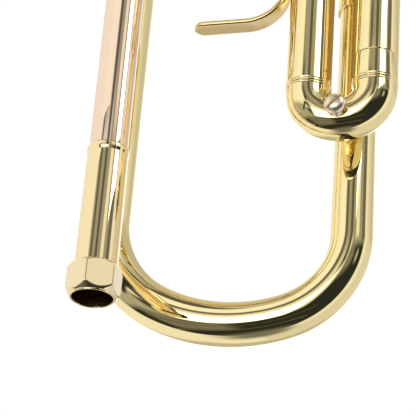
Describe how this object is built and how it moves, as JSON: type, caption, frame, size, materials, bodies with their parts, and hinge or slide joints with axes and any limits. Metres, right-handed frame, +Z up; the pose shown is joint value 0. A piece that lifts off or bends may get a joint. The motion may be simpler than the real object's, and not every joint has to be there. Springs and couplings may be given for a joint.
{
  "type": "cornet",
  "caption": "Long-model B flat cornet with a flared bell, piston valves, sliding tuning crooks, a thumb saddle, a finger ring and a water key.",
  "frame": {"origin": "on the second valve's axis, midway in height between the two bell tubes, where the left hand grips the valves", "axes": "+Y forward along the bell, +Z up along the valves to the finger buttons, +X to the player's right"},
  "size_m": [0.1356, 0.4262, 0.1767],
  "materials": {
    "yellow_brass": "clear-lacquered polished yellow brass",
    "rose_brass": "clear-lacquered polished rose brass",
    "pale_brass": "clear-lacquered pale brass, slightly softer polish",
    "nickel_silver": "polished nickel silver",
    "valve_alloy": "fine lapped nickel alloy",
    "pearl": "polished mother-of-pearl",
    "cork": "natural cork"
  },
  "bodies": {
    "body": {"mouthpiece_receiver": "yellow_brass", "receiver_collar": "pale_brass", "leadpipe": "rose_brass", "tuning_sleeve_upper": "yellow_brass", "tuning_sleeve_lower": "yellow_brass", "main_knuckle": "yellow_brass", "bell_knuckle": "yellow_brass", "bell_tail_ferrule": "yellow_brass", "bell_flare": "yellow_brass", "bell_rim_wire": "yellow_brass", "bell_bow": "yellow_brass", "valve_casing_1": "yellow_brass", "valve_casing_2": "yellow_brass", "valve_casing_3": "yellow_brass", "top_cap_1": "yellow_brass", "top_cap_2": "yellow_brass", "top_cap_3": "yellow_brass", "bottom_cap_1": "yellow_brass", "bottom_cap_2": "yellow_brass", "bottom_cap_3": "yellow_brass", "crossover_1": "yellow_brass", "crossover_2": "yellow_brass", "first_sleeve_upper": "yellow_brass", "first_sleeve_lower": "yellow_brass", "second_sleeve_upper": "yellow_brass", "second_sleeve_lower": "yellow_brass", "third_sleeve_upper": "yellow_brass", "third_sleeve_lower": "yellow_brass", "stop_rod_guide": "nickel_silver", "rear_brace": "nickel_silver", "front_brace": "nickel_silver", "finger_hook": "yellow_brass"},
    "valve_1": {"piston_1": "valve_alloy", "finger_button_1": "yellow_brass", "button_pearl_1": "pearl"},
    "valve_2": {"piston_2": "valve_alloy", "finger_button_2": "yellow_brass", "button_pearl_2": "pearl"},
    "valve_3": {"piston_3": "valve_alloy", "finger_button_3": "yellow_brass", "button_pearl_3": "pearl"},
    "first_slide": {"first_slide_upper_sleeve": "yellow_brass", "first_slide_lower_ferrule": "yellow_brass", "first_slide_crook": "yellow_brass", "thumb_saddle": "yellow_brass", "lyre_screw": "nickel_silver"},
    "second_slide": {"second_slide_crook": "yellow_brass", "second_slide_knob": "nickel_silver"},
    "third_slide": {"third_slide_upper_sleeve": "yellow_brass", "third_slide_lower_ferrule": "yellow_brass", "third_slide_crook": "yellow_brass", "finger_ring": "yellow_brass", "stop_rod": "nickel_silver"},
    "tuning_slide": {"tuning_crook": "yellow_brass", "tuning_brace": "nickel_silver", "water_nipple": "yellow_brass", "water_key_post": "yellow_brass"},
    "water_key": {"water_key_lever": "yellow_brass", "water_key_cork": "cork"}
  },
  "joints": [
    {"name": "valve_1_press", "type": "slide", "parent": "body", "child": "valve_1", "axis": [0, 0, -1], "range_m": [0, 0.0165], "stiffness_N_per_m": 180, "springref_m": -0.012},
    {"name": "valve_2_press", "type": "slide", "parent": "body", "child": "valve_2", "axis": [0, 0, -1], "range_m": [0, 0.0165], "stiffness_N_per_m": 180, "springref_m": -0.012},
    {"name": "valve_3_press", "type": "slide", "parent": "body", "child": "valve_3", "axis": [0, 0, -1], "range_m": [0, 0.0165], "stiffness_N_per_m": 180, "springref_m": -0.012},
    {"name": "first_slide_pull", "type": "slide", "parent": "body", "child": "first_slide", "axis": [0, -1, 0], "range_m": [0, 0.02]},
    {"name": "second_slide_pull", "type": "slide", "parent": "body", "child": "second_slide", "axis": [1, 0, 0], "range_m": [0, 0.011]},
    {"name": "third_slide_pull", "type": "slide", "parent": "body", "child": "third_slide", "axis": [0, 1, 0], "range_m": [0, 0.028]},
    {"name": "tuning_slide_pull", "type": "slide", "parent": "body", "child": "tuning_slide", "axis": [0, 1, 0], "range_m": [0, 0.025]},
    {"name": "water_key_hinge", "type": "hinge", "parent": "tuning_slide", "child": "water_key", "pos_m": [0.0178, 0.146, -0.0526], "axis": [-1, 0, 0], "range_deg": [0, 15], "stiffness_Nm_per_rad": 0.03, "springref_deg": -20.05}
  ]
}
